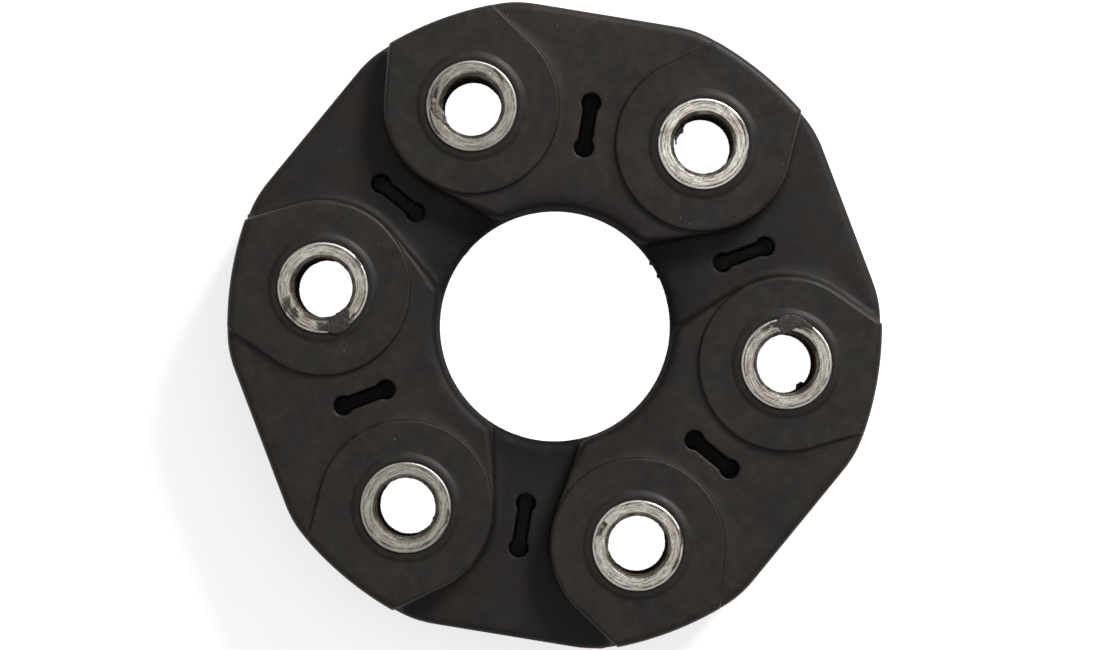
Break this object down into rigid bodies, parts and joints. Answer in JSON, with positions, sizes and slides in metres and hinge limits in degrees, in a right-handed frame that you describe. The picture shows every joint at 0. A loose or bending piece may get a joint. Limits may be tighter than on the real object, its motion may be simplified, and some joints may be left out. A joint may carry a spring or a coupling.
{
  "type": "rubber flex disc",
  "caption": "Round rubber shaft coupling with steel bolt bushes, wound cord loops inside, a large central bore and webs that are high and low by turns.",
  "frame": {"origin": "on the disc's axis, in the middle of its thickness", "axes": "+Z along the disc's axis, out of the face that the picture shows; +X through bush 1"},
  "size_m": [0.134, 0.129, 0.032],
  "materials": {
    "moulded_rubber": "matt moulded",
    "turned_steel": "turned",
    "cord": "wound polyester cord",
    "ring_plastic": "moulded nylon"
  },
  "bodies": {
    "root": {"rubber_body": "moulded_rubber", "bush_1": "turned_steel", "cord_loop_1": "cord", "separator_1": "ring_plastic", "front_collar_1": "ring_plastic", "rear_collar_1": "ring_plastic", "bush_2": "turned_steel", "cord_loop_2": "cord", "separator_2": "ring_plastic", "front_collar_2": "ring_plastic", "rear_collar_2": "ring_plastic", "bush_3": "turned_steel", "cord_loop_3": "cord", "separator_3": "ring_plastic", "front_collar_3": "ring_plastic", "rear_collar_3": "ring_plastic", "bush_4": "turned_steel", "cord_loop_4": "cord", "separator_4": "ring_plastic", "front_collar_4": "ring_plastic", "rear_collar_4": "ring_plastic", "bush_5": "turned_steel", "cord_loop_5": "cord", "separator_5": "ring_plastic", "front_collar_5": "ring_plastic", "rear_collar_5": "ring_plastic", "bush_6": "turned_steel", "cord_loop_6": "cord", "separator_6": "ring_plastic", "front_collar_6": "ring_plastic", "rear_collar_6": "ring_plastic"}
  },
  "joints": []
}
